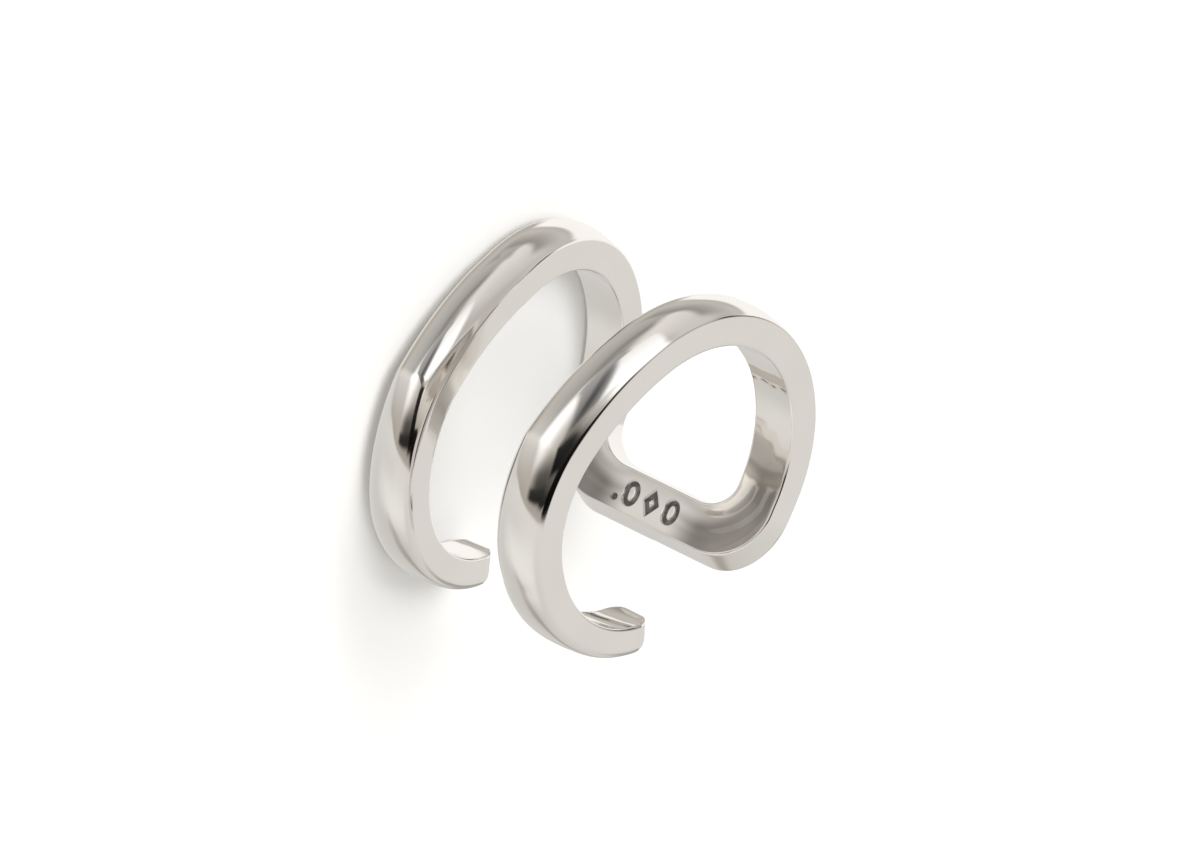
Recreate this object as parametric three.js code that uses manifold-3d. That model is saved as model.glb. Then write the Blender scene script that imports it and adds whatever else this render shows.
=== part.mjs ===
import * as THREE from 'three';
import { mergeVertices } from 'three/addons/utils/BufferGeometryUtils.js';
import Module from 'manifold-3d';

// A double-band ear cuff, cast as one piece of silver. Sizes are in millimetres.
// Two C-shaped bands of D-section wire stand side by side. Each starts at a small foot,
// runs up the front leg, over the crown and down the back leg, and the two back legs are
// joined by a bridge. It lies on the flat side face of one band.

// The section of the bands
const bandWidth = 1.56;
const wallHeight = 1.04;
const innerEdgeBreak = 0.05;
const crestEdgeBreak = 0.03;
const domeFullness = 2.4;
const domeSteps = 10;

// The two bands side by side, spreading a little from the front legs toward the back legs
const bandSpacing = 6.36;
const splay = 0.09;

// The bridge, as a strap across the ends of the back legs
const bridgeWidth = 1.46;
const bridgeFlare = 0.24;
const cornerRadius = 1.95;
const slotRadius = 1.03;

// The clear span inside a band from the front leg to the back leg
const loopSpan = 9.97;

// The inner face of a band seen from the side, from the foot to the bridge's free edge. Places
// and radii are shares of the clear span, turns are in degrees, and rise is how far the dome
// stands over the side faces where each stretch starts, as a share of the band's width.
const footTip = { y: -0.269, z: -0.319, heading: 176 };
const loopTable = [
  { part: 'foot', radius: 0.375, turn: 29.4, rise: 0.155 },
  { part: 'ankle', radius: 0.444, turn: 38.9, rise: 0.175 },
  { part: 'front leg', radius: 0.382, turn: 57.1, rise: 0.23 },
  { part: 'shoulder', radius: 0.764, turn: 31.4, rise: 0.45 },
  { part: 'crown', radius: 0.424, turn: 72.5, rise: 0.335 },
  { part: 'back leg', radius: 0.479, turn: 60.5, rise: 0.205 },
  { part: 'tail', radius: 1.141, turn: 13.2, rise: 0.205 },
];
const endRise = 0.205;

// The turn between two sections in degrees, and the least distance between them
const stationTurn = 6.2;
const leastStep = 0.12;

// The rounded end of each foot, and how far the foot of the first band reaches past the other
const footRound = 0.72;
const footCapShare = 0.36;
const firstFootReach = 0.42;
const footSteps = 5;
const cornerSteps = 9;
const bridgeSteps = 8;

// The row of small punched figures on the inner face of the bridge, with each figure's place
// across the bridge and its width as shares of the figures' height
const figureHeight = 0.84;
const figureDepth = 0.06;
const figureLine = 0.14;
const markTable = [
  { form: 'dot', across: -1.55, width: 0.24 },
  { form: 'oval', across: -0.95, width: 0.67 },
  { form: 'lozenge', across: -0.06, width: 0.74 },
  { form: 'oval', across: 0.83, width: 0.67 },
];

const silver = { color: 0xcfcac4, roughness: 0.12, metalness: 1.0 };

const radians = (degrees) => (degrees * Math.PI) / 180;
const mix = (a, b, share) => a + (b - a) * share;

const halfSpacing = bandSpacing / 2;
const outerX = halfSpacing + bandWidth / 2;
const innerX = halfSpacing - bandWidth / 2;

// The loop as a chain of tangent arcs, each with its start, heading and length
function makeLoop() {
  const arcs = [];
  let y = footTip.y * loopSpan;
  let z = footTip.z * loopSpan;
  let heading = radians(footTip.heading);
  let start = 0;
  for (const row of loopTable) {
    const turn = radians(row.turn);
    const radius = row.radius * loopSpan;
    const centreY = y + radius * Math.sin(heading);
    const centreZ = z - radius * Math.cos(heading);
    const length = radius * turn;
    arcs.push({ start, length, radius, turn, heading, centreY, centreZ });
    heading -= turn;
    y = centreY - radius * Math.sin(heading);
    z = centreZ + radius * Math.cos(heading);
    start += length;
  }
  return { arcs, length: start };
}

const loop = makeLoop();
const freeEdge = loop.length;
const slotEnd = freeEdge - bridgeWidth;

// A point of the loop at a distance along it, with the direction out of the loop
function loopPoint(along) {
  const arcs = loop.arcs;
  const arc = arcs.find((one) => along <= one.start + one.length) ?? arcs[arcs.length - 1];
  const heading = arc.heading - (along - arc.start) / arc.radius;
  const outY = -Math.sin(heading);
  const outZ = Math.cos(heading);
  return { y: arc.centreY + arc.radius * outY, z: arc.centreZ + arc.radius * outZ, outY, outZ };
}

// The rise of the dome at a distance along the loop
function riseAt(along) {
  const index = loop.arcs.findIndex((one) => along <= one.start + one.length);
  const row = index < 0 ? loopTable.length - 1 : index;
  const share = THREE.MathUtils.clamp((along - loop.arcs[row].start) / loop.arcs[row].length, 0, 1);
  const next = row + 1 < loopTable.length ? loopTable[row + 1].rise : endRise;
  return mix(loopTable[row].rise, next, share) * bandWidth;
}

// From the flat strap (across, along, out) to the bent cuff (across, back, up)
function bend(across, along, out) {
  const at = loopPoint(along);
  const y = at.y + out * at.outY;
  const z = at.z + out * at.outZ;
  const share = THREE.MathUtils.clamp(across / innerX, -1, 1);
  return new THREE.Vector3(across + splay * y * share, y, z);
}

// The distances along a leg at which a section stands, from the foot's tip to the corner
function legDistances(tip, end) {
  const distances = [];
  for (const arc of loop.arcs) {
    const steps = Math.max(1, Math.ceil(arc.turn / radians(stationTurn)));
    for (let i = 0; i < steps; i += 1) {
      const along = arc.start + (arc.length * i) / steps;
      if (along > tip + footRound + leastStep && along < end - leastStep) distances.push(along);
    }
  }
  return distances;
}

// The sections of half the strap, each a line from its outer edge to its inner edge
function halfStations(tip) {
  const stations = [];
  for (let i = 0; i <= footSteps; i += 1) {
    const angle = (i / footSteps) * (Math.PI / 2);
    const along = tip + footRound * (1 - Math.cos(angle));
    const share = mix(footCapShare, 1, Math.sin(angle));
    const half = (bandWidth / 2) * share;
    stations.push({
      outer: [halfSpacing + half, along],
      inner: [halfSpacing - half, along],
      depth: share,
      flare: 0,
    });
  }
  for (const along of legDistances(tip, slotEnd - slotRadius)) {
    stations.push({ outer: [outerX, along], inner: [innerX, along], depth: 1, flare: 0 });
  }
  for (let i = 0; i <= cornerSteps; i += 1) {
    const angle = (i / cornerSteps) * (Math.PI / 2);
    const across = Math.cos(angle) - 1;
    const along = Math.sin(angle) - 1;
    stations.push({
      outer: [outerX + cornerRadius * across, freeEdge + cornerRadius * along],
      inner: [innerX + slotRadius * across, slotEnd + slotRadius * along],
      depth: 1,
      flare: bridgeFlare * Math.sin(angle) ** 2,
    });
  }
  return stations;
}

// All the sections, from one foot over the bridge to the other foot
function allStations() {
  const half = halfStations(-firstFootReach);
  const mirrored = halfStations(0)
    .map((one) => ({
      outer: [-one.outer[0], one.outer[1]],
      inner: [-one.inner[0], one.inner[1]],
      depth: one.depth,
      flare: one.flare,
    }))
    .reverse();
  const from = half[half.length - 1];
  const to = mirrored[0];
  const bridge = [];
  for (let i = 1; i < bridgeSteps; i += 1) {
    const share = i / bridgeSteps;
    bridge.push({
      outer: [mix(from.outer[0], to.outer[0], share), freeEdge],
      inner: [mix(from.inner[0], to.inner[0], share), slotEnd],
      depth: 1,
      flare: bridgeFlare,
    });
  }
  return [...half, ...bridge, ...mirrored];
}

// The D section: share runs from the outer edge to the inner edge, out from the inner face to
// the crests, and dome is the share of the dome's rise
function sectionPoints(width) {
  const face = innerEdgeBreak / width;
  const crest = crestEdgeBreak / width;
  const points = [
    { share: 0, out: wallHeight - crestEdgeBreak, dome: 0 },
    { share: 0, out: innerEdgeBreak, dome: 0 },
    { share: face, out: 0, dome: 0 },
    { share: 1 - face, out: 0, dome: 0 },
    { share: 1, out: innerEdgeBreak, dome: 0 },
    { share: 1, out: wallHeight - crestEdgeBreak, dome: 0 },
  ];
  for (let i = 0; i <= domeSteps; i += 1) {
    const share = mix(1 - crest, crest, i / domeSteps);
    points.push({ share, out: wallHeight, dome: 1 - Math.abs(2 * share - 1) ** domeFullness });
  }
  return points;
}

// The strap as a closed mesh: a ring of points for each section, and a cap on each foot
function strapGeometry() {
  const positions = [];
  const faces = [];
  const stations = allStations();
  const ring = sectionPoints(bandWidth);
  const count = ring.length;
  for (const station of stations) {
    for (const point of ring) {
      const spread = ((1 - point.share) * station.flare * point.out) / (wallHeight * bridgeWidth);
      const share = point.share - spread;
      const across = mix(station.outer[0], station.inner[0], share);
      const along = mix(station.outer[1], station.inner[1], share);
      const out = point.out + point.dome * riseAt(along);
      const at = bend(across, along, out * station.depth);
      positions.push(at.x, at.y, at.z);
    }
  }
  for (let i = 0; i < stations.length - 1; i += 1) {
    for (let j = 0; j < count; j += 1) {
      const next = (j + 1) % count;
      const a = i * count + j;
      const b = i * count + next;
      const c = (i + 1) * count + next;
      const d = (i + 1) * count + j;
      faces.push(a, b, c, a, c, d);
    }
  }
  const last = (stations.length - 1) * count;
  const footRise = loopTable[0].rise * bandWidth;
  const outline = ring.map(
    (point) => new THREE.Vector2(point.share * bandWidth, point.out + point.dome * footRise),
  );
  for (const [a, b, c] of THREE.ShapeUtils.triangulateShape(outline, [])) {
    faces.push(a, c, b);
    faces.push(last + a, last + b, last + c);
  }
  const geometry = new THREE.BufferGeometry();
  geometry.setAttribute('position', new THREE.Float32BufferAttribute(positions, 3));
  geometry.setIndex(faces);
  return geometry;
}

// The outline of one punched figure, as a ring or a dot, around its own middle
function figureShape(row) {
  const shape = new THREE.Shape();
  const halfWidth = (row.width * figureHeight) / 2;
  const halfHeight = figureHeight / 2;
  if (row.form === 'dot') {
    shape.absarc(0, 0, halfWidth, 0, Math.PI * 2);
    return shape;
  }
  const hole = new THREE.Path();
  if (row.form === 'oval') {
    shape.absellipse(0, 0, halfWidth, halfHeight, 0, Math.PI * 2);
    hole.absellipse(0, 0, halfWidth - figureLine, halfHeight - figureLine, 0, Math.PI * 2, true);
  } else {
    const line = figureLine * 1.25;
    shape.moveTo(halfWidth, 0).lineTo(0, halfHeight).lineTo(-halfWidth, 0).lineTo(0, -halfHeight);
    hole.moveTo(halfWidth - line, 0).lineTo(0, -halfHeight + line);
    hole.lineTo(-halfWidth + line, 0).lineTo(0, halfHeight - line);
  }
  shape.holes.push(hole);
  return shape;
}

// A punched figure as a cutter, bent onto the inner face of the bridge
function figureGeometry(row) {
  const middle = (slotEnd + freeEdge) / 2;
  const reach = figureDepth * 2.5;
  const geometry = new THREE.ExtrudeGeometry(figureShape(row), {
    depth: reach,
    bevelEnabled: false,
    curveSegments: 10,
  });
  const spots = geometry.attributes.position;
  for (let i = 0; i < spots.count; i += 1) {
    const across = row.across * figureHeight + spots.getX(i);
    const along = middle + spots.getY(i);
    const at = bend(across, along, spots.getZ(i) + figureDepth - reach);
    spots.setXYZ(i, at.x, at.y, at.z);
  }
  return geometry;
}

const wasm = await Module();
wasm.setup();

function toManifold(geometry) {
  const bare = geometry.clone();
  bare.deleteAttribute('normal');
  bare.deleteAttribute('uv');
  const merged = mergeVertices(bare, 1e-5);
  return new wasm.Manifold(
    new wasm.Mesh({
      numProp: 3,
      vertProperties: new Float32Array(merged.attributes.position.array),
      triVerts: new Uint32Array(merged.index.array),
    }),
  );
}

function fromManifold(solid) {
  const mesh = solid.getMesh();
  const geometry = new THREE.BufferGeometry();
  geometry.setAttribute('position', new THREE.Float32BufferAttribute(mesh.vertProperties, 3));
  geometry.setIndex(Array.from(mesh.triVerts));
  return geometry;
}

let body = toManifold(strapGeometry());
for (const row of markTable) body = body.subtract(toManifold(figureGeometry(row)));

// Laid down on the flat side face of one band, with the middle of the outline over the origin
const geometry = fromManifold(body);
const turn = new THREE.Matrix4().makeRotationY(-Math.atan(splay));
const lie = new THREE.Matrix4().set(0, 1, 0, 0, 0, 0, 1, 0, 1, 0, 0, 0, 0, 0, 0, 1);
geometry.applyMatrix4(lie).applyMatrix4(turn);
geometry.computeBoundingBox();
const box = geometry.boundingBox;
geometry.translate(-(box.min.x + box.max.x) / 2, -(box.min.y + box.max.y) / 2, -box.min.z);
geometry.computeVertexNormals();

const material = new THREE.MeshStandardMaterial(silver);
const cuff = new THREE.Mesh(geometry, material);
cuff.name = 'ear_cuff';

const part = new THREE.Group();
part.add(cuff);

export default part;
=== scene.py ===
import math
from collections import namedtuple

import bmesh
import bpy
from bpy.props import FloatProperty, FloatVectorProperty, PointerProperty
from mathutils import Matrix, Vector, noise


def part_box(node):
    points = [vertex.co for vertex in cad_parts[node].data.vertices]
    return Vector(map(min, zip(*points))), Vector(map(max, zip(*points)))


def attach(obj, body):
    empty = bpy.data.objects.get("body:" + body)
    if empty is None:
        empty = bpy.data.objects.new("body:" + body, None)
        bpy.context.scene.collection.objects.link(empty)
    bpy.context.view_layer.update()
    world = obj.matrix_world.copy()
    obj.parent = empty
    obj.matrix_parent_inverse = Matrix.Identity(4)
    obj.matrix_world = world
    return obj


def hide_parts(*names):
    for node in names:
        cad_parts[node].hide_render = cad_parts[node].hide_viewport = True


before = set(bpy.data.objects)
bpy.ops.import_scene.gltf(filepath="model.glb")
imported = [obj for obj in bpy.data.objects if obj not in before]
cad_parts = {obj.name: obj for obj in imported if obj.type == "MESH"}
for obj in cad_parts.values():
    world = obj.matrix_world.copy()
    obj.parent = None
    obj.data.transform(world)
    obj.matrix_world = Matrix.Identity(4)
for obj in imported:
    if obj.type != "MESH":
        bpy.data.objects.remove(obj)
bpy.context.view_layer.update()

bl_info = {
    "name": "Double-band ear cuff",
    "version": (1, 0, 0),
    "blender": (4, 5, 0),
    "location": "3D View > Sidebar > Ear Cuff",
    "description": "Builds a polished silver ear cuff with two bands and a bridge, and its studio",
    "category": "Add Mesh",
}

MM = 0.001
CAD_LOW, CAD_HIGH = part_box("ear_cuff")

# The inner face of a band seen from the side, from the foot to the bridge's free edge. Radii and
# the foot's place are shares of the clear span, and angles are in degrees. The other columns hold
# where a stretch starts: rise is how far the dome stands over the side faces, as a share of the
# band's width, and crest is how round the crest edge is. The two bands were bent by hand, so each
# has its own twist, its own stand outward and its own extra width. Lengths are in millimetres.
FOOT_TIP = {"y": -0.269, "z": -0.319, "heading": 176.0}
LOOP_COLUMNS = (
    "part",
    "radius",
    "turn",
    "rise",
    "crest",
    "upper twist",
    "upper stand",
    "upper wide",
    "lower twist",
    "lower stand",
    "lower wide",
)
LOOP_TABLE = [
    dict(zip(LOOP_COLUMNS, row))
    for row in (
        ("foot", 0.375, 29.4, 0.0, 0.30, 0.0, 0.02, -0.08, 4.0, -0.14, -0.05),
        ("ankle", 0.444, 38.9, 0.045, 0.30, 0.0, -0.06, -0.05, 1.0, -0.03, 0.01),
        ("front leg", 0.382, 57.1, 0.185, 0.26, 0.0, -0.112, 0.06, 0.0, 0.189, 0.12),
        ("shoulder", 0.764, 31.4, 0.60, 0.065, 0.0, 0.03, 0.225, 0.0, 0.38, 0.12),
        ("crown", 0.424, 72.5, 0.365, 0.03, 0.0, 0.022, 0.122, 0.0, -0.06, 0.12),
        ("back leg", 0.479, 60.5, 0.03, 0.06, 0.0, -0.037, -0.015, 0.0, 0.012, -0.02),
        ("tail", 1.141, 13.2, 0.06, 0.10, 0.0, 0.0, 0.0, 0.0, 0.0, 0.0),
        ("free edge", 0.0, 0.0, 0.12, 0.12, 0.0, 0.0, 0.0, 0.0, 0.0, 0.0),
    )
]

# The punched figures, placed across the bridge and sized in shares of their height
MARK_TABLE = [
    {"form": "dot", "across": -1.55, "width": 0.27},
    {"form": "oval", "across": -0.95, "width": 0.67},
    {"form": "lozenge", "across": -0.06, "width": 0.74},
    {"form": "oval", "across": 0.83, "width": 0.67},
]

# What the metal reflects, seen from the cuff with the bridge standing at the back: first the
# table and the room by height over the horizon, then soft boxes and flags, all in degrees.
# Round is measured from the front over the upper band's side, wide and tall are half sizes.
ROOM_TILT = 13.5
ROOM_TABLE = [
    {"height": -90, "tone": 0.60, "warmth": 0.6},
    {"height": -60, "tone": 0.66, "warmth": 0.4},
    {"height": -30, "tone": 0.71, "warmth": 0.4},
    {"height": -12.5, "tone": 0.77, "warmth": 0.4},
    {"height": -11, "tone": 0.42, "warmth": 1.4},
    {"height": -4, "tone": 0.48, "warmth": 1.4},
    {"height": 8, "tone": 0.52, "warmth": 1.2},
    {"height": 20, "tone": 0.56, "warmth": 1.0},
    {"height": 40, "tone": 0.50, "warmth": 0.5},
    {"height": 60, "tone": 0.40, "warmth": 0.5},
    {"height": 72, "tone": 0.28, "warmth": 1.0},
    {"height": 82, "tone": 0.36, "warmth": 1.0},
    {"height": 90, "tone": 0.50, "warmth": 0.8},
]
PANEL_COLUMNS = ("round", "height", "wide", "tall", "roll", "soft", "low", "high", "warmth")
PANEL_TABLE = [
    dict(zip(PANEL_COLUMNS, row))
    for row in (
        (5, -48, 55, 30, 0, 0.9, 0.88, 0.86, 0.3),
        (140, 50, 38, 32, 0, 0.5, 0.6, 0.85, 0.6),
        (-25, 27, 84, 34, 10, 1.0, 0.50, 0.95, 0.5),
        (40, 36, 34, 40, 30, 0.9, 1.1, 1.6, 0.2),
        (76.6, 43.6, 13, 34, 19, 0.25, 0.20, 0.42, 0.2),
        (77, 34, 4.5, 32, 6, 0.8, 0.02, 0.20, -0.5),
        (94, 36, 10, 26, 0, 0.35, 1.3, 0.95, 0.0),
        (60, -4, 38, 13, -10, 0.9, 0.01, 0.16, 1.0),
        (54, -9, 30, 4.5, -8, 0.6, 0.01, 0.04, 1.0),
        (92, -10, 23, 15, -12, 0.2, 0.003, 0.01, 1.0),
        (80, 2, 8, 13, 0, 0.8, 0.01, 0.03, 1.0),
        (133, 2, 10, 22, -10, 0.3, 0.05, 0.10, 1.0),
        (109, -3, 4.5, 24, 35, 0.5, 0.35, 0.80, 0.0),
        (186, 40, 42, 16, 0, 0.5, 0.60, 0.3, 0.8),
        (176, -50, 36, 10, 0, 0.5, 0.45, 0.4, 0.8),
        (-110, -78, 40, 12, 0, 0.9, 0.42, 0.42, 1.2),
        (176, -3, 43, 26, 0, 0.2, 1.0, 1.05, 0.3),
    )
]

# The stretches round a section and how many steps each takes, starting at the outer edge of the
# inner face and going over the slot side, the dome and the outer side
INNER_STEPS = 56
SECTION_STEPS = [
    ("inner face", INNER_STEPS),
    ("inner edge", 4),
    ("side face", 10),
    ("crest", 6),
    ("dome", 30),
    ("crest", 6),
    ("side face", 10),
    ("inner edge", 4),
]
RING_STEPS = sum(steps for _, steps in SECTION_STEPS)

# How many sections a foot's rounded end, a band, a corner and the bridge take along the strap
FOOT_STEPS = 24
BAND_STEPS = 186
CORNER_STEPS = 32
BRIDGE_STEPS = 150
SIDE_STATIONS = FOOT_STEPS + BAND_STEPS + CORNER_STEPS + 1

# The crest's rounding reaches this share of its radius, and is kept crisp on the hidden side
CREST_REACH = 0.9
CREST_BEND = 0.35
HIDDEN_CREST = 0.05 * MM

# Half the width of the part of the bridge that holds the figures
MARK_REACH = 1.6 * MM

# Polishing waves: how fine they are, how much stronger on the inner face, and how far from a
# foot's tip they are at full strength
WOBBLE_FINENESS = 1500
INNER_WOBBLE = 3
TIP_FADE = 0.4 * MM

WELD = 0.0002 * MM

# The camera that was fitted to the photo: its axes, what it aims at and how far away it stands
CAMERA_RIGHT = (0.57938287, 0.08302938, 0.8108154)
CAMERA_UP = (0.34932565, 0.87350219, -0.33906564)
CAMERA_BACK = (-0.73640144, 0.47968744, 0.47708792)
CAMERA_AIM = Vector((1.6731, -0.4541, 3.0343)) * MM
CAMERA_DISTANCE = 499.084774 * MM

# One section of the flat strap: where it starts and ends across the strap and along it, how far
# it is from the foot's tip, and how far its free side flares
Station = namedtuple("Station", "outer_x inner_x outer_along inner_along from_tip flare")


def mm(name, value, text):
    """A length property, given in millimetres"""
    return FloatProperty(
        name=name,
        default=value / 1000,
        unit="LENGTH",
        subtype="DISTANCE",
        precision=5,
        description=text,
    )


def number(name, value, text, **kind):
    return FloatProperty(name=name, default=value, description=text, **kind)


def colour(name, value, text):
    return FloatVectorProperty(
        name=name, subtype="COLOR", size=3, default=value, description=text
    )


class CuffShape(bpy.types.PropertyGroup):
    """Sizes of the cuff"""

    loop_span: mm("Clear span", 9.97, "Inner width of a band from the front leg to the back leg")
    band_width: mm("Band width", 1.56, "Width of the wire across its flat inner face")
    wall_height: mm("Side face height", 1.04, "From the inner face to the crest edge")
    edge_round: mm("Inner edge round", 0.06, "Radius of the edges beside the inner face")
    band_spacing: mm("Band spacing", 6.36, "Between the middles of the two bands")
    bridge_width: mm("Bridge width", 1.46, "From the slot's end to the free edge")
    bridge_flare: mm("Bridge flare", 0.24, "How far the outer side of the free edge stands out")
    corner_radius: mm("Corner radius", 1.95, "Outer corners between the back legs and the bridge")
    slot_radius: mm("Slot radius", 1.03, "Inner corners at the slot's end")
    foot_reach: mm("Upper foot reach", 0.72, "How far it reaches past the loop's start")
    other_reach: mm("Lower foot reach", 0.15, "How far it reaches past the loop's start")
    foot_round: mm("Foot round", 0.62, "How long the rounded end of a foot is")
    foot_lip: mm("Foot lip", 0.13, "Rounding between a foot's inner face and its end")
    foot_thin: mm("Foot thinning", 0.55, "What the dome side loses toward a foot's tip")
    dish: mm("Dish", 0.035, "How deep the bridge's inner face is dished")
    spoon: mm("Spoon", 0.04, "How deep a foot's inner face is dished")
    wobble: mm("Wobble", 0.001, "Unevenness that hand polishing leaves")
    figure_height: mm("Figure height", 0.84, "Height of the punched figures")
    figure_depth: mm("Figure depth", 0.07, "Depth of the punched figures")
    figure_line: mm("Figure line", 0.19, "Width of the punched lines")
    splay: number("Splay", 0.09, "Sideways spread of the bands for each unit toward the back")
    foot_cap: number("Foot cap", 0.12, "Share of the width left at a foot's tip", subtype="FACTOR")
    dome_fullness: number("Dome fullness", 2.4, "2 is a plain parabola, more is fuller")


class CuffFinish(bpy.types.PropertyGroup):
    """Finish of the silver"""

    silver: colour("Silver", (0.93, 0.905, 0.87), "Polished metal")
    shadowed: colour("Oxide", (0.10, 0.09, 0.08), "Oxide in the punched figures")
    # Painted shade: a dark colour laid over the inner corners between the bridge and the back
    # legs, standing for the dark the metal reflects there
    painted_shade: colour("Shade", (0.09, 0.08, 0.065), "Tarnish in the inner corners")
    polish: number("Roughness", 0.06, "Roughness of clean polish", subtype="FACTOR")
    wear: number("Wear", 0.5, "Fine scratches and haze", subtype="FACTOR")


class CuffStudio(bpy.types.PropertyGroup):
    """Floor, light and camera"""

    floor: colour("Floor", (0.94, 0.94, 0.935), "Floor colour")
    surround: number("Surround", 1.0, "Strength of what the metal reflects")
    key_power: number("Key", 1.0, "Key light", subtype="POWER", unit="POWER")
    key_size: mm("Key size", 300.0, "Width of the key light")
    fill_power: number("Fill", 0.52, "Top light", subtype="POWER", unit="POWER")
    fill_size: mm("Fill size", 500.0, "Width of the top light")
    lens: number("Lens", 487.66, "Focal length of the camera, in mm")


def mix(a, b, share):
    return a + (b - a) * share


def smooth_step(low, high, value):
    share = min(1.0, max(0.0, (value - low) / (high - low)))
    return share * share * (3 - 2 * share)


class Loop:
    """The inner line of a band as a chain of tangent arcs"""

    def __init__(self, shape):
        self.arcs = []
        y = FOOT_TIP["y"] * shape.loop_span
        z = FOOT_TIP["z"] * shape.loop_span
        heading = math.radians(FOOT_TIP["heading"])
        start = 0.0
        for row in LOOP_TABLE[:-1]:
            turn = math.radians(row["turn"])
            radius = row["radius"] * shape.loop_span
            centre = (y + radius * math.sin(heading), z - radius * math.cos(heading))
            self.arcs.append((start, radius * turn, radius, heading, centre))
            heading -= turn
            y = centre[0] - radius * math.sin(heading)
            z = centre[1] + radius * math.cos(heading)
            start += radius * turn
        self.length = start

    def row_at(self, along):
        """The number of the stretch that holds a place along the line"""
        for index, (start, length, _, _, _) in enumerate(self.arcs):
            if along <= start + length:
                return index
        return len(self.arcs) - 1

    def at(self, along):
        """A point of the line (y, z) and the direction out of the loop (y, z)"""
        start, _, radius, heading, centre = self.arcs[self.row_at(along)]
        heading -= (along - start) / radius
        out_y, out_z = -math.sin(heading), math.cos(heading)
        return centre[0] + radius * out_y, centre[1] + radius * out_z, out_y, out_z

    def value(self, along, column):
        """A column of the table, changing evenly from one stretch to the next"""
        index = self.row_at(along)
        start, length = self.arcs[index][:2]
        share = min(1.0, max(0.0, (along - start) / length))
        return mix(LOOP_TABLE[index][column], LOOP_TABLE[index + 1][column], share)


def strap_stations(shape, loop):
    """The flat strap's sections, from the upper foot over the bridge to the lower foot"""
    outer_x = (shape.band_spacing + shape.band_width) / 2
    inner_x = (shape.band_spacing - shape.band_width) / 2
    slot_end = loop.length - shape.bridge_width
    straight_end = slot_end - shape.slot_radius
    sides = []
    for tip in (-shape.foot_reach, -shape.other_reach):
        quarters = [i / FOOT_STEPS * math.pi / 2 for i in range(FOOT_STEPS)]
        places = [tip + shape.foot_round * (1 - math.cos(angle)) for angle in quarters]
        band_start = tip + shape.foot_round
        places += [mix(band_start, straight_end, i / BAND_STEPS) for i in range(BAND_STEPS)]
        side = [Station(outer_x, inner_x, along, along, along - tip, 0.0) for along in places]
        for i in range(CORNER_STEPS + 1):
            angle = i / CORNER_STEPS * math.pi / 2
            out, on = math.cos(angle) - 1, math.sin(angle) - 1
            corner = Station(
                outer_x=outer_x + shape.corner_radius * out,
                inner_x=inner_x + shape.slot_radius * out,
                outer_along=loop.length + shape.corner_radius * on,
                inner_along=slot_end + shape.slot_radius * on,
                from_tip=1.0,
                flare=shape.bridge_flare * math.sin(angle) ** 2,
            )
            side.append(corner)
        sides.append(side)
    upper, lower = sides
    lower = [one._replace(outer_x=-one.outer_x, inner_x=-one.inner_x) for one in reversed(lower)]
    start, end = upper[-1], lower[0]
    bridge = []
    for i in range(1, BRIDGE_STEPS):
        share = i / BRIDGE_STEPS
        crossing = start._replace(
            outer_x=mix(start.outer_x, end.outer_x, share),
            inner_x=mix(start.inner_x, end.inner_x, share),
            outer_along=loop.length,
            inner_along=slot_end,
        )
        bridge.append(crossing)
    return upper + bridge + lower


def section_outline(shape, rise, crests):
    """The D section as (share across, out) pairs, for the dome's rise and each crest's radius"""
    half, wall, edge = shape.band_width / 2, shape.wall_height, shape.edge_round
    slot_reach, outer_reach = (crest * CREST_REACH for crest in crests)

    def dome(aside):
        return wall + rise * (1 - abs(aside / half) ** shape.dome_fullness)

    def side_point(name, share, reach):
        """A point on the slot side, share of the way from the inner face up to the dome"""
        if name == "inner edge":
            angle = share * math.pi / 2
            return half - edge + edge * math.sin(angle), edge - edge * math.cos(angle)
        if name == "side face":
            return half, mix(edge, wall - reach, share)
        far = (half - reach, dome(half - reach))
        near = (half, wall - reach)
        corner = (half, mix(wall, far[1], CREST_BEND))
        u, v = 1 - share, share
        return tuple(u * u * near[k] + 2 * u * v * corner[k] + v * v * far[k] for k in (0, 1))

    points = []
    past_dome = False
    for name, steps in SECTION_STEPS:
        for i in range(steps):
            share = i / steps
            if name == "inner face":
                aside, out = mix(edge - half, half - edge, share), 0.0
            elif name == "dome":
                aside = mix(half - slot_reach, outer_reach - half, share)
                out = dome(aside)
            elif past_dome:
                aside, out = side_point(name, 1 - share, outer_reach)
                aside = -aside
            else:
                aside, out = side_point(name, share, slot_reach)
            points.append((aside / shape.band_width + 0.5, out))
        past_dome = past_dome or name == "dome"
    return points


def stroke(shape, row, x, y):
    """How deep a punched figure is at a place, from 0 outside it to 1 in its line"""
    half_w = row["width"] * shape.figure_height / 2
    half_h = shape.figure_height / 2
    line = shape.figure_line / 2
    x -= row["across"] * shape.figure_height
    if abs(x) > half_w + line or abs(y) > half_h + line:
        return 0.0
    if row["form"] == "dot":
        y -= half_h - half_w
        gap = math.hypot(x, y) - half_w + line
    elif row["form"] == "oval":
        a, b = half_w - line, half_h - line
        f = math.hypot(x / a, y / b)
        slope = math.hypot(x / (a * a), y / (b * b)) / max(f, 1e-6)
        gap = abs(f - 1) / max(slope, 1e-6)
    else:
        a, b = half_w - line * 1.3, half_h - line * 1.3
        gap = abs(abs(x) / a + abs(y) / b - 1) / math.hypot(1 / a, 1 / b)
    return 1 - smooth_step(line * 0.6, line * 1.05, gap)


def past_slot_corner(shape, loop, across, along):
    """How far a place is past the centre of the slot's corner, each way, and past its edge"""
    slot_end = loop.length - shape.bridge_width
    inner_x = (shape.band_spacing - shape.band_width) / 2
    aside = abs(across) - inner_x + shape.slot_radius
    ahead = along - slot_end + shape.slot_radius
    return aside, ahead, math.hypot(max(aside, 0.0), max(ahead, 0.0)) - shape.slot_radius


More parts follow.
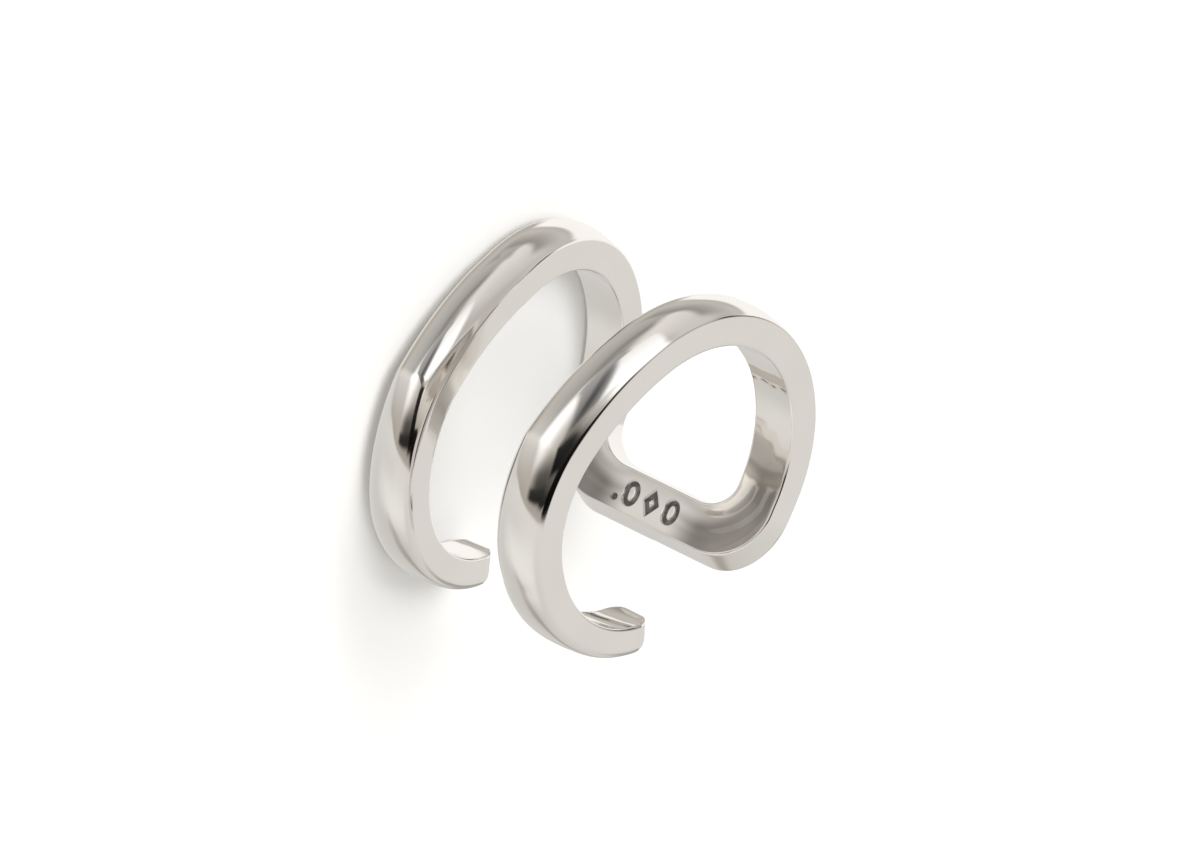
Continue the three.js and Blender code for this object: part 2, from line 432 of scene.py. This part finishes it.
def inner_relief(shape, loop, share, across, along, from_tip):
    """The dish and soft waves of the inner face, as a depth into the metal"""
    bowl = 1 - (2 * share - 1) ** 2
    near_tip = 1 - smooth_step(2.2 * MM, 3.6 * MM, from_tip)
    spoon = shape.spoon * bowl * near_tip * smooth_step(0.0, TIP_FADE, from_tip)
    aside, ahead, reach = past_slot_corner(shape, loop, across, along)
    if ahead < -1.2 * MM:
        return spoon
    over_bridge = min(1.0, max(0.0, reach / shape.bridge_width))
    fade = smooth_step(-1.2 * MM, 0.4 * MM, ahead)
    corner = smooth_step(-1.2 * MM, -0.1 * MM, aside) * smooth_step(-0.6 * MM, 0.4 * MM, ahead)
    ripple = 0.3 * corner * math.sin(over_bridge * 15 + 3 * math.atan2(ahead, aside + MM * MM))
    return spoon + shape.dish * fade * math.sin(math.pi * over_bridge) * (1 + ripple)


def painted_corner_shade(shape, loop, across, along):
    """How much painted shade darkens the inner face between the bridge and the back legs, from 0
    to 1
    """
    aside, ahead, reach = past_slot_corner(shape, loop, across, along)
    corner = smooth_step(-0.7 * MM, 0.5 * MM, aside) * smooth_step(-1.4 * MM, 0.2 * MM, ahead)
    return corner * smooth_step(0.1 * MM, 0.8 * MM, reach)


def bend(shape, loop, across, along, out):
    """From the flat strap (across, along, out) to the bent cuff (back, up, across)"""
    y, z, out_y, out_z = loop.at(along)
    y += out * out_y
    z += out * out_z
    inner_x = shape.band_spacing / 2 - shape.band_width / 2
    share = max(-1.0, min(1.0, across / inner_x))
    return Vector((y, z, across + shape.splay * y * share))


def lean(loop, station, across, out):
    """The hand-bent band's own twist about its upper edge, stand and extra width"""
    along = min(station.outer_along, station.inner_along)
    upper = station.outer_x > 0
    band, pivot = ("upper ", station.outer_x) if upper else ("lower ", station.inner_x)
    twist = math.radians(loop.value(along, band + "twist"))
    stand = loop.value(along, band + "stand") * MM
    wide = loop.value(along, band + "wide") * MM
    aside = (across - pivot) * (1 + wide / abs(station.outer_x - station.inner_x))
    across = pivot + aside * math.cos(twist) + out * math.sin(twist)
    return across, out * math.cos(twist) - aside * math.sin(twist) + stand


def foot_shares(shape, from_tip):
    """What a section near a foot's tip loses at each side, at its inner face and at its dome"""

    def loss(most, reach):
        if from_tip >= reach:
            return 0.0
        return most * (1 - math.sqrt(max(0.0, 1 - (1 - from_tip / reach) ** 2)))

    return (
        loss((1 - shape.foot_cap) / 2, shape.foot_round),
        loss(shape.foot_lip, shape.foot_lip * 1.4),
        loss(shape.foot_thin, shape.foot_round),
    )


def station_outline(shape, loop, station):
    """A station's D section, rounder at the crest that can be seen, and how far its dome stands"""
    along = min(station.outer_along, station.inner_along)
    rise = loop.value(along, "rise") * shape.band_width
    crest = loop.value(along, "crest") * MM
    hidden = min(crest, HIDDEN_CREST)
    crests = (hidden, crest) if station.outer_x > 0 else (crest, hidden)
    return section_outline(shape, rise, crests), shape.wall_height + rise


def shape_section(shape, loop, station, outline, top):
    """A station's points: across, along and out, then how deep the figures are and how much
    painted shade darkens the inner corners
    """
    narrow, low, high = foot_shares(shape, station.from_tip)
    on_bridge = station.outer_along == loop.length
    points = []
    for j, (place, out) in enumerate(outline):
        on_inner_face = 0 < j < INNER_STEPS
        share = mix(narrow, 1 - narrow, place)
        out = low + out / top * (top - low - high)
        flared = station.flare * min(out, shape.wall_height) / shape.wall_height
        share -= (1 - share) * flared / shape.bridge_width
        across = mix(station.outer_x, station.inner_x, share)
        along = mix(station.outer_along, station.inner_along, share)
        cut = shade_share = 0.0
        if on_inner_face:
            out += inner_relief(shape, loop, place, across, along, station.from_tip)
            # Painted shade: the inner corners are darkened where the metal reflects the other
            # band's dark
            shade_share = painted_corner_shade(shape, loop, across, along)
            if on_bridge and abs(across) < MARK_REACH:
                upward = along - loop.length + shape.bridge_width / 2
                cut = max(stroke(shape, row, across, upward) for row in MARK_TABLE)
                out += shape.figure_depth * cut
        spot = Vector((across * WOBBLE_FINENESS, along * WOBBLE_FINENESS, 5 * j / RING_STEPS))
        wobble = noise.noise(spot) * shape.wobble * (INNER_WOBBLE if on_inner_face else 1)
        out += wobble * smooth_step(0.0, TIP_FADE, station.from_tip)
        points.append((across, along, out, cut, shade_share))
    return points


def lay_grain(bm, shape, stations):
    """Lays the scratches' UV map along the strap and round the section"""
    grain = bm.loops.layers.uv["grain"]
    lengths = [0.0]
    for one, two in zip(stations, stations[1:]):
        aside = two.outer_x + two.inner_x - one.outer_x - one.inner_x
        ahead = two.outer_along + two.inner_along - one.outer_along - one.inner_along
        lengths.append(lengths[-1] + math.hypot(aside, ahead) / 2)
    for face in bm.faces:
        for corner in face.loops:
            place = corner[grain].uv
            i = round(place.x * (len(stations) - 1))
            corner[grain].uv = (lengths[i] * 100, place.y * shape.band_width * 340)


def loft_cuff(shape):
    """A flat grid rolled round the section, bent into the cuff, welded and closed at the feet"""
    loop = Loop(shape)
    stations = strap_stations(shape, loop)
    last = len(stations) - 1
    sections = [
        shape_section(shape, loop, one, *station_outline(shape, loop, one)) for one in stations
    ]
    bm = bmesh.new()
    bm.loops.layers.uv.new("grain")
    bmesh.ops.create_grid(bm, x_segments=last, y_segments=RING_STEPS, size=1.0, calc_uvs=True)
    lay_grain(bm, shape, stations)
    oxide = bm.verts.layers.float.new("oxide")
    # Painted shade in the inner corners, kept on the vertices for the material
    painted_shade = bm.verts.layers.float.new("painted_shade")
    turn = Matrix.Rotation(-math.atan(shape.splay), 4, "Y")
    for vert in bm.verts:
        i = round((vert.co.x + 1) / 2 * last)
        j = round((vert.co.y + 1) / 2 * RING_STEPS) % RING_STEPS
        across, along, out, vert[oxide], vert[painted_shade] = sections[i][j]
        if min(i, last - i) < SIDE_STATIONS:
            across, out = lean(loop, stations[i], across, out)
        vert.co = turn @ bend(shape, loop, across, along, out)
    bmesh.ops.remove_doubles(bm, verts=bm.verts, dist=WELD)
    open_edges = [edge for edge in bm.edges if edge.is_boundary]
    caps = bmesh.ops.holes_fill(bm, edges=open_edges, sides=0)["faces"]
    bmesh.ops.triangulate(bm, faces=caps)
    bmesh.ops.recalc_face_normals(bm, faces=bm.faces)
    low = Vector(min(v.co[k] for v in bm.verts) for k in range(3))
    high = Vector(max(v.co[k] for v in bm.verts) for k in range(3))
    shift = (CAD_LOW + CAD_HIGH) / 2 - (low + high) / 2
    shift.z = CAD_LOW.z - low.z
    bmesh.ops.translate(bm, verts=bm.verts, vec=shift)
    return bm


def add_mesh_object(name, bm):
    mesh = bpy.data.meshes.new(name)
    bm.to_mesh(mesh)
    bm.free()
    piece = bpy.data.objects.new(name, mesh)
    bpy.context.scene.collection.objects.link(piece)
    mesh.polygons.foreach_set("use_smooth", [True] * len(mesh.polygons))
    return piece


class NodeBuilder:
    """Adds nodes to a tree, with each input set to a value or linked to another node's output"""

    def __init__(self, tree):
        self.nodes, self.links = tree.nodes, tree.links

    def set(self, node, inputs):
        """Inputs are given by name, or by number where a node has two of one name"""
        for name, value in inputs.items():
            if isinstance(name, int):
                socket = node.inputs[name]
            else:
                socket = next(one for one in node.inputs if one.name == name and one.enabled)
            if isinstance(value, bpy.types.NodeSocket):
                self.links.new(value, socket)
            else:
                socket.default_value = value

    def add(self, kind, inputs, **settings):
        """A new node's first output in use"""
        node = self.nodes.new("ShaderNode" + kind)
        for name, value in settings.items():
            setattr(node, name, value)
        self.set(node, inputs)
        return next(one for one in node.outputs if one.enabled)

    def math(self, operation, *values, clamp=False):
        return self.add("Math", dict(enumerate(values)), operation=operation, use_clamp=clamp)

    def noise(self, place, scale, detail):
        return self.add("TexNoise", {"Vector": place, "Scale": scale, "Detail": detail})

    def mix_float(self, share, first, second):
        return self.add("Mix", {"Factor": share, "A": first, "B": second}, data_type="FLOAT")

    def mix_colour(self, share, first, second):
        return self.add("Mix", {"Factor": share, "A": first, "B": second}, data_type="RGBA")

    def coordinates(self, name):
        return self.nodes.new("ShaderNodeTexCoord").outputs[name]

    def attribute(self, name):
        node = self.nodes.new("ShaderNodeAttribute")
        node.attribute_name = name
        return node.outputs["Fac"]


def silver_material(finish):
    """Polished sterling silver: haze, fine scratches, oxide in the mark and painted shade in the
    inner corners
    """
    material = bpy.data.materials.new("polished silver")
    material.use_nodes = True
    tree = NodeBuilder(material.node_tree)
    place = tree.coordinates("Object")

    haze = tree.noise(place, 420.0, 5.0)
    cloud = tree.noise(place, 5200.0, 3.0)
    stain = tree.math("MULTIPLY_ADD", cloud, 0.5, 0.65)
    oxide = tree.math("MULTIPLY", tree.attribute("oxide"), stain, clamp=True)
    # Painted shade in the inner corners, broken into patches by noise
    patches = tree.noise(place, 500.0, 2.0)
    spread = tree.math("MULTIPLY_ADD", patches, 0.5, 0.5)
    shade_share = tree.math("MULTIPLY", tree.attribute("painted_shade"), spread, clamp=True)

    polish = {"To Min": finish.polish, "To Max": finish.polish + 0.07 * finish.wear}
    rough = tree.add("MapRange", {"Value": haze, "From Min": 0.35, "From Max": 0.75, **polish})
    rough = tree.mix_float(oxide, rough, 0.45)

    hazed = tuple(channel * 0.93 for channel in finish.silver)
    tint = tree.mix_colour(haze, (*finish.silver, 1), (*hazed, 1))
    # Painted shade: the inner corners turn toward a dark colour
    tint = tree.mix_colour(shade_share, tint, (*finish.painted_shade, 1))
    tint = tree.mix_colour(oxide, tint, (*finish.shadowed, 1))

    follow = tree.add("UVMap", {}, uv_map="grain")
    stretched = tree.add("Mapping", {"Vector": follow, "Scale": (2.5, 38.0, 1.0)})
    scratch = tree.noise(stretched, 3.0, 4.0)
    depth = {"Strength": 0.03 * finish.wear, "Distance": 0.01 * MM}
    bump = tree.add("Bump", {"Height": scratch, **depth})

    look = {"Metallic": 1.0, "Roughness": rough, "Base Color": tint, "Normal": bump}
    tree.set(tree.nodes["Principled BSDF"], look)
    return material


class EARCUFF_OT_bands(bpy.types.Operator):
    """Makes the two bands, the feet and the bridge as one casting, with its punched mark"""

    bl_idname = "earcuff.bands"
    bl_label = "Bands and bridge"

    def execute(self, context):
        scene = context.scene
        piece = add_mesh_object("cuff_casting", loft_cuff(scene.cuff_shape))
        piece.data.materials.append(silver_material(scene.cuff_finish))
        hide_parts("ear_cuff")
        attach(piece, "root")
        return {"FINISHED"}


def studio_direction(round_by, height):
    """A direction from the cuff, turned about its upright axis from the front, in degrees"""
    turn, lift = math.radians(round_by), math.radians(height)
    return Vector(
        (-math.cos(turn) * math.cos(lift), math.sin(lift), math.sin(turn) * math.cos(lift))
    )


def warm(tone, warmth):
    return tone, tone * (1 - 0.05 * warmth), tone * (1 - 0.12 * warmth), 1.0


class SurroundBuilder(NodeBuilder):
    """What the metal reflects: a pale table, a dim room over it, and soft boxes and flags"""

    def __init__(self, tree):
        super().__init__(tree)
        self.look = self.coordinates("Generated")

    def dot(self, vector):
        """How far the view goes along a vector"""
        node = self.nodes.new("ShaderNodeVectorMath")
        node.operation = "DOT_PRODUCT"
        self.set(node, {0: self.look, 1: vector})
        return node.outputs["Value"]

    def fade(self, value, inner, outer):
        """1 up to the inner value and 0 from the outer one"""
        span = {"From Min": inner, "From Max": outer, "To Min": 1.0, "To Max": 0.0}
        return self.add("MapRange", {"Value": value, **span}, interpolation_type="SMOOTHSTEP")

    def room(self):
        """The table and the room, by height over a horizon that is tilted by ROOM_TILT"""
        tilt = math.radians(ROOM_TILT)
        upright = math.cos(tilt) * studio_direction(0, 90)
        axis = upright + math.sin(tilt) * studio_direction(120, 0)
        height = self.math("ARCSINE", self.dot(axis))
        share = self.math("MULTIPLY_ADD", height, 1 / math.pi, 0.5)
        ramp = self.nodes.new("ShaderNodeValToRGB")
        self.links.new(share, ramp.inputs["Fac"])
        elements = ramp.color_ramp.elements
        elements[0].position, elements[1].position = 0.0, 1.0
        for _ in ROOM_TABLE[1:-1]:
            elements.new(0.5)
        for element, row in zip(elements, ROOM_TABLE):
            element.position = row["height"] / 180 + 0.5
        for element, row in zip(elements, ROOM_TABLE):
            element.color = warm(row["tone"], row["warmth"])
        return ramp.outputs["Color"]

    def panel(self, behind, row):
        """One soft box or flag, as a flat panel seen in one direction"""
        middle = studio_direction(row["round"], row["height"])
        level = Vector((0, 1, 0)).cross(middle).normalized()
        upright = middle.cross(level)
        spin = math.radians(row["roll"])
        side = level * math.cos(spin) + upright * math.sin(spin)
        top = upright * math.cos(spin) - level * math.sin(spin)
        ahead = self.dot(middle)
        across = self.math("DIVIDE", self.dot(side / math.tan(math.radians(row["wide"]))), ahead)
        upward = self.math("DIVIDE", self.dot(top / math.tan(math.radians(row["tall"]))), ahead)
        inner = 1 - row["soft"]
        over_width = self.fade(self.math("ABSOLUTE", across), inner, 1.0)
        over_height = self.fade(self.math("ABSOLUTE", upward), inner, 1.0)
        cover = self.math("MULTIPLY", over_width, over_height)
        cover = self.math("MULTIPLY", cover, self.math("GREATER_THAN", ahead, 0.02))
        low, high = warm(row["low"], row["warmth"]), warm(row["high"], row["warmth"])
        lit = self.mix_colour(self.fade(upward, 1.0, -1.0), low, high)
        return self.mix_colour(cover, behind, lit)


def add_floor(tone):
    bm = bmesh.new()
    bmesh.ops.create_grid(bm, x_segments=1, y_segments=1, size=2.0)
    floor = add_mesh_object("floor", bm)
    pale = bpy.data.materials.new("pale floor")
    pale.use_nodes = True
    shader = pale.node_tree.nodes["Principled BSDF"]
    shader.inputs["Base Color"].default_value = (*tone, 1)
    shader.inputs["Roughness"].default_value = 0.9
    shader.inputs["Specular IOR Level"].default_value = 0.1
    floor.data.materials.append(pale)
    floor.visible_glossy = False
    return floor


def add_surround(strength):
    world = bpy.data.worlds.new("studio surround")
    bpy.context.scene.world = world
    world.use_nodes = True
    surround = SurroundBuilder(world.node_tree)
    seen = surround.room()
    for row in PANEL_TABLE:
        seen = surround.panel(seen, row)
    surround.set(surround.nodes["Background"], {"Color": seen, "Strength": strength})


def add_disc_light(name, size, power, tone, offset):
    """A round light beside the middle of the cuff, facing it, which the metal doesn't reflect"""
    data = bpy.data.lights.new(name, "AREA")
    data.shape = "DISK"
    data.size = size
    data.energy = power
    data.color = tone
    light = bpy.data.objects.new(name, data)
    bpy.context.scene.collection.objects.link(light)
    offset = Vector(offset)
    light.location = (CAD_LOW + CAD_HIGH) / 2 + offset
    light.rotation_euler = (-offset).to_track_quat("-Z", "Y").to_euler()
    light.visible_glossy = False


def add_camera(lens):
    scene = bpy.context.scene
    data = bpy.data.cameras.new("camera")
    data.lens = lens
    data.sensor_width = 36.0
    data.clip_start = 0.01
    data.clip_end = 10.0
    camera = bpy.data.objects.new("camera", data)
    scene.collection.objects.link(camera)
    axes = Matrix((CAMERA_RIGHT, CAMERA_UP, CAMERA_BACK)).transposed()
    spot = CAMERA_AIM + Vector(CAMERA_BACK) * CAMERA_DISTANCE
    camera.matrix_world = Matrix.Translation(spot) @ axes.to_4x4()
    scene.camera = camera


class EARCUFF_OT_studio(bpy.types.Operator):
    """Makes the pale floor, the soft light, the surround that the metal reflects and the camera"""

    bl_idname = "earcuff.studio"
    bl_label = "Studio"

    def execute(self, context):
        studio = context.scene.cuff_studio
        floor = add_floor(studio.floor)
        add_surround(studio.surround)
        white, daylight = (1.0, 1.0, 1.0), (1.0, 0.99, 0.975)
        add_disc_light("key", studio.key_size, studio.key_power, daylight, (-0.04, 0.26, 0.34))
        add_disc_light("fill", studio.fill_size, studio.fill_power, white, (0, 0, 0.4))
        add_camera(studio.lens)
        context.scene.view_settings.view_transform = "Standard"
        return {"FINISHED"}


class EARCUFF_PT_panel(bpy.types.Panel):
    """Lists the operators of the ear cuff"""

    bl_idname = "EARCUFF_PT_panel"
    bl_label = "Ear Cuff"
    bl_space_type = "VIEW_3D"
    bl_region_type = "UI"
    bl_category = "Ear Cuff"

    def draw(self, context):
        for operator in OPERATORS:
            self.layout.operator(operator.bl_idname)
        for group in ("cuff_shape", "cuff_finish", "cuff_studio"):
            values = getattr(context.scene, group)
            column = self.layout.column(align=True)
            for name in values.bl_rna.properties.keys():
                if name not in ("rna_type", "name"):
                    column.prop(values, name)


OPERATORS = (EARCUFF_OT_bands, EARCUFF_OT_studio)
CLASSES = (CuffShape, CuffFinish, CuffStudio, *OPERATORS, EARCUFF_PT_panel)


def register():
    for one in CLASSES:
        bpy.utils.register_class(one)
    bpy.types.Scene.cuff_shape = PointerProperty(type=CuffShape)
    bpy.types.Scene.cuff_finish = PointerProperty(type=CuffFinish)
    bpy.types.Scene.cuff_studio = PointerProperty(type=CuffStudio)


def unregister():
    del bpy.types.Scene.cuff_shape
    del bpy.types.Scene.cuff_finish
    del bpy.types.Scene.cuff_studio
    for one in reversed(CLASSES):
        bpy.utils.unregister_class(one)


def main():
    register()
    bpy.ops.earcuff.bands()
    bpy.ops.earcuff.studio()


if __name__ == "__main__":
    main()
